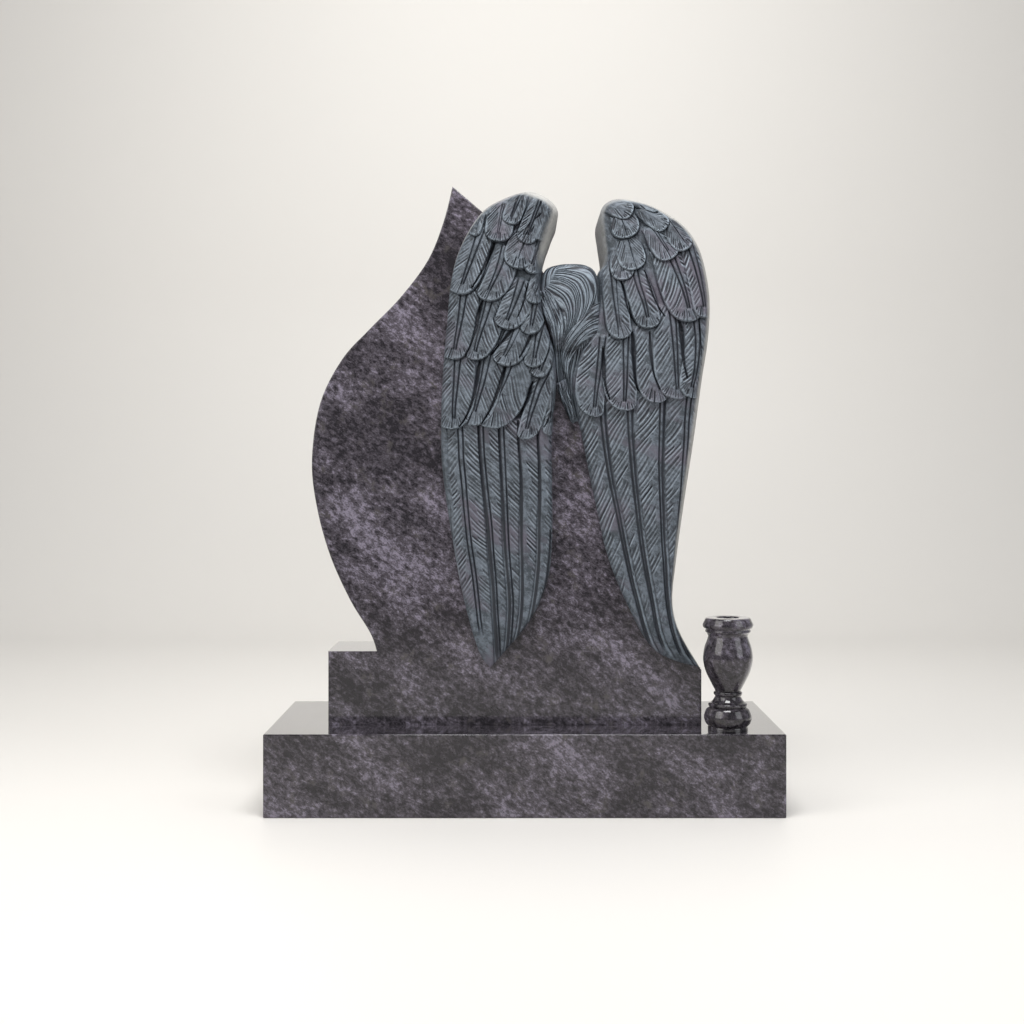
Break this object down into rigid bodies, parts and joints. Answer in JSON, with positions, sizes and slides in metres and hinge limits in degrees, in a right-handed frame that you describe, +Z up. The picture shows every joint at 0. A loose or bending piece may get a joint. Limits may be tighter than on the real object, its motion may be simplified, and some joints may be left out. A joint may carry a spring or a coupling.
{
  "type": "headstone",
  "caption": "Polished granite headstone on a plinth: a swept slab carved in relief with a bowed head of hair between two folded feathered wings, and a turned flower vase.",
  "frame": {"origin": "middle of the plinth's underside, on the ground", "axes": "+Z up, +X towards the vase (right, seen from the front), -Y out of the carved face"},
  "size_m": [0.762, 0.305, 0.9343],
  "materials": {
    "plinth_granite": "polished",
    "headstone_granite": "polished",
    "carved_granite": "chiselled and left unpolished",
    "vase_granite": "polished"
  },
  "bodies": {
    "root": {"plinth": "plinth_granite", "headstone": "headstone_granite", "vase": "vase_granite"}
  },
  "joints": []
}
